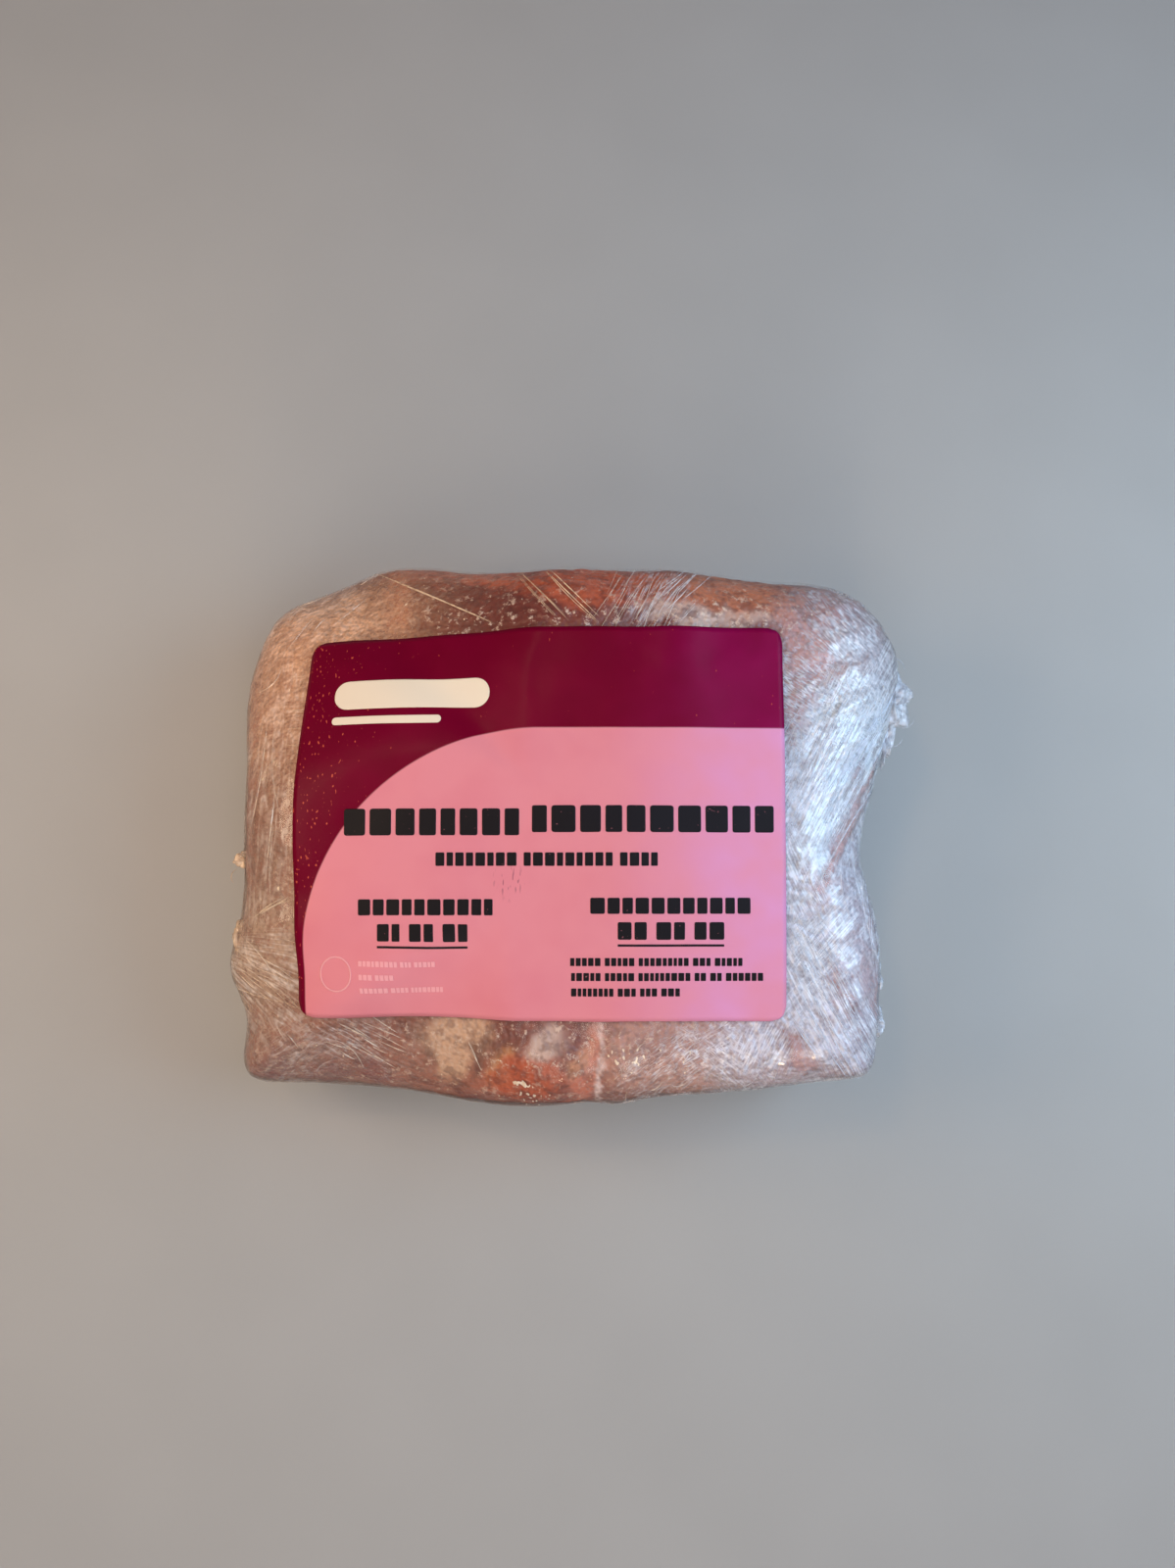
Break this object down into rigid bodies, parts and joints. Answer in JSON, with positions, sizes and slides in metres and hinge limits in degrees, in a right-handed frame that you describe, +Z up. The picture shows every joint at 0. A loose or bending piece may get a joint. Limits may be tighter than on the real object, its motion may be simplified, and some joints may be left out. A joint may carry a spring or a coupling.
{
  "type": "pork shoulder pack",
  "caption": "Uneven frozen block of pork shoulder, wrapped tight in clear stretch film, with a flat stuck-on label on its top face.",
  "frame": {"origin": "middle of the footprint's box, on the surface that the pack rests on", "axes": "+X right along the label's long side, +Y to the back edge of the labelled face, +Z up out of the label"},
  "size_m": [0.1478, 0.121, 0.0604],
  "materials": {
    "clear_film": "clear glossy stretch film in several layers, hazy with frost, wrinkled and creased",
    "frozen_meat": "frozen raw pork, dark red with cream fat and pale frost",
    "label_paper": "coated paper, satin, printed in wine red and pink",
    "label_print": "matt black and cream printing ink"
  },
  "bodies": {
    "root": {"wrapped_block": "clear_film", "label": "label_paper"}
  },
  "joints": []
}
